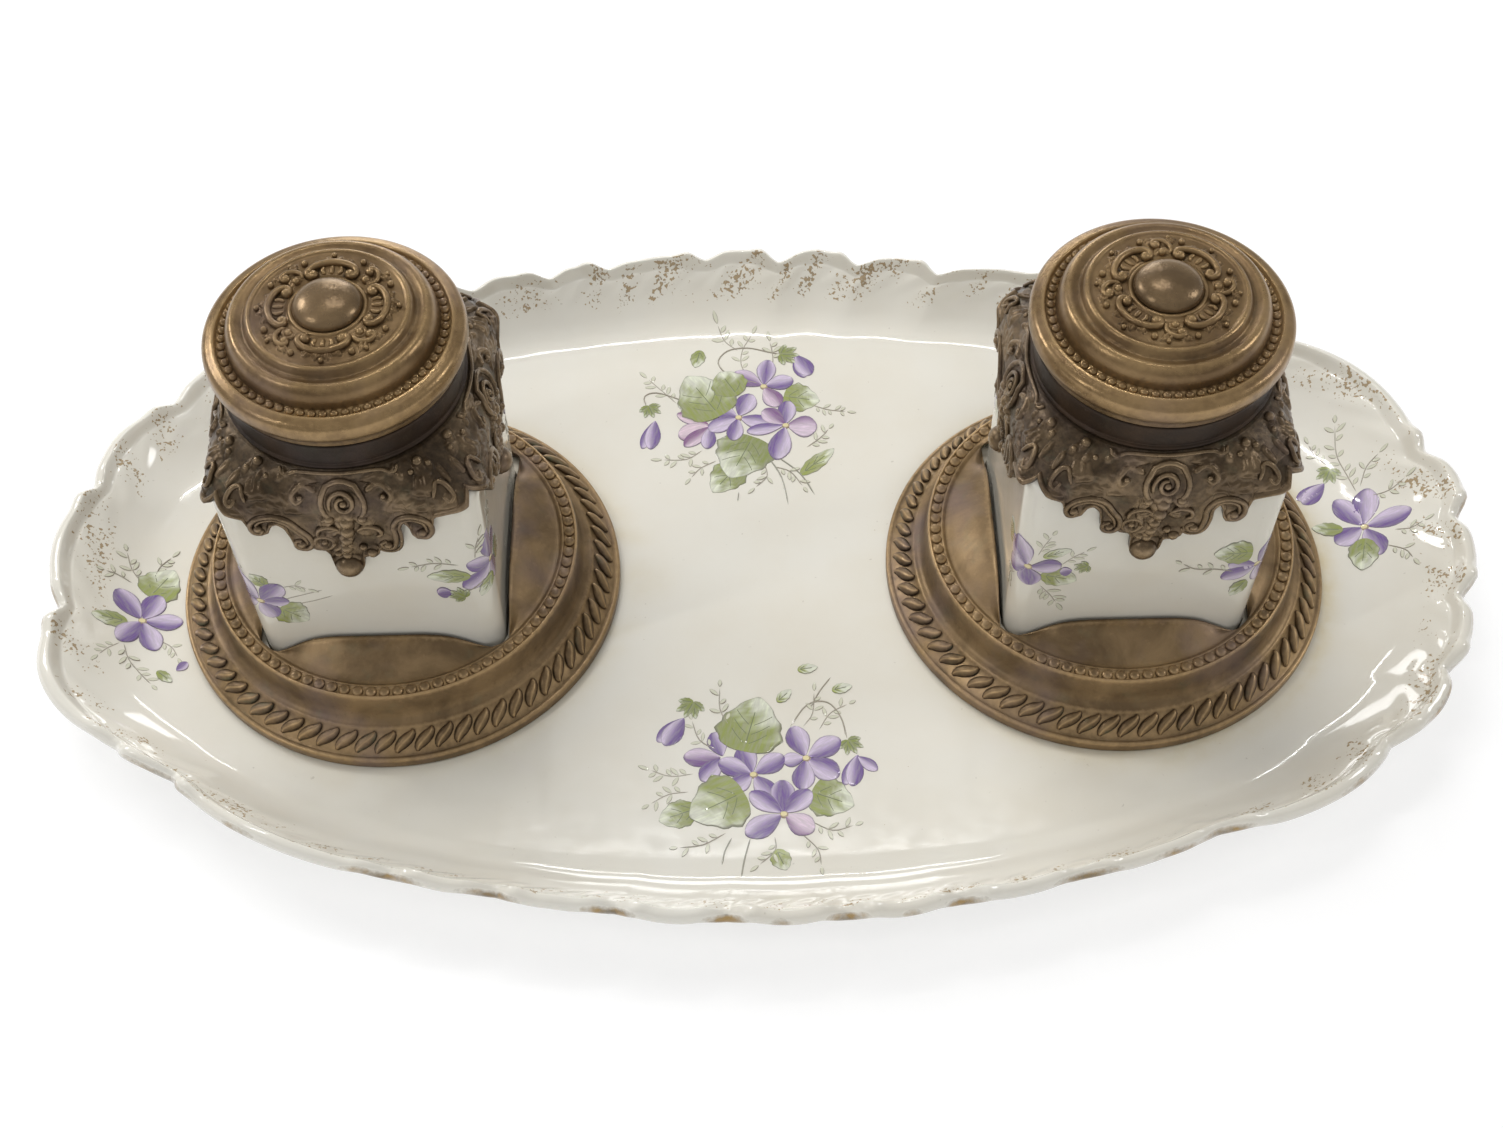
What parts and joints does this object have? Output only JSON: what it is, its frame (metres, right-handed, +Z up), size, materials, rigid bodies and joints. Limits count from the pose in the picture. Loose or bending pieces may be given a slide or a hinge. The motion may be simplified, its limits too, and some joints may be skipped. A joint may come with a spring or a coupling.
{
  "type": "desk inkstand",
  "caption": "Oval scalloped porcelain tray carrying square porcelain inkwells with brass saucers, pierced hoods and hinged domed lids.",
  "frame": {"origin": "centre of the footprint, on the underside of the tray's foot ring", "axes": "+X to the right along the tray's length, -Y towards the front, where the hoods' pendants hang, and +Z up"},
  "size_m": [0.2854, 0.1658, 0.0889],
  "materials": {
    "porcelain": "glossy cream white glaze with violet sprays and gold speckles",
    "liner_porcelain": "plain glossy white glaze",
    "plaster": "matt plaster",
    "brown_brass": "stamped brass with brown patina, satin",
    "dark_brass": "stamped brass with dark brown patina, satin",
    "pin_brass": "drawn brass, dull"
  },
  "bodies": {
    "tray": {"tray": "porcelain"},
    "left_inkwell": {"left_saucer": "brown_brass", "left_plaster_bed": "plaster", "left_well": "porcelain", "left_hood": "dark_brass", "left_neck_ring": "dark_brass", "left_ink_pot": "liner_porcelain", "left_fixed_hinge_leaf": "dark_brass", "left_hinge_pin": "pin_brass"},
    "left_lid": {"left_lid_hinge_leaf": "dark_brass", "left_lid": "brown_brass", "left_lid_lining": "brown_brass", "left_lid_button": "brown_brass"},
    "right_inkwell": {"right_saucer": "brown_brass", "right_plaster_bed": "plaster", "right_well": "porcelain", "right_hood": "dark_brass", "right_neck_ring": "dark_brass", "right_ink_pot": "liner_porcelain", "right_fixed_hinge_leaf": "dark_brass", "right_hinge_pin": "pin_brass"},
    "right_lid": {"right_lid_hinge_leaf": "dark_brass", "right_lid": "brown_brass", "right_lid_lining": "brown_brass", "right_lid_button": "brown_brass"}
  },
  "joints": [
    {"name": "left_inkwell_lift", "type": "slide", "parent": "tray", "child": "left_inkwell", "axis": [0, 0, 1], "range_m": [0, 0.1]},
    {"name": "left_lid_hinge", "type": "hinge", "parent": "left_inkwell", "child": "left_lid", "pos_m": [-0.0734, 0.0254, 0.0745], "axis": [-1, 0, 0], "range_deg": [0, 105]},
    {"name": "right_inkwell_lift", "type": "slide", "parent": "tray", "child": "right_inkwell", "axis": [0, 0, 1], "range_m": [0, 0.1]},
    {"name": "right_lid_hinge", "type": "hinge", "parent": "right_inkwell", "child": "right_lid", "pos_m": [0.0696, 0.0254, 0.0745], "axis": [-1, 0, 0], "range_deg": [0, 105]}
  ]
}
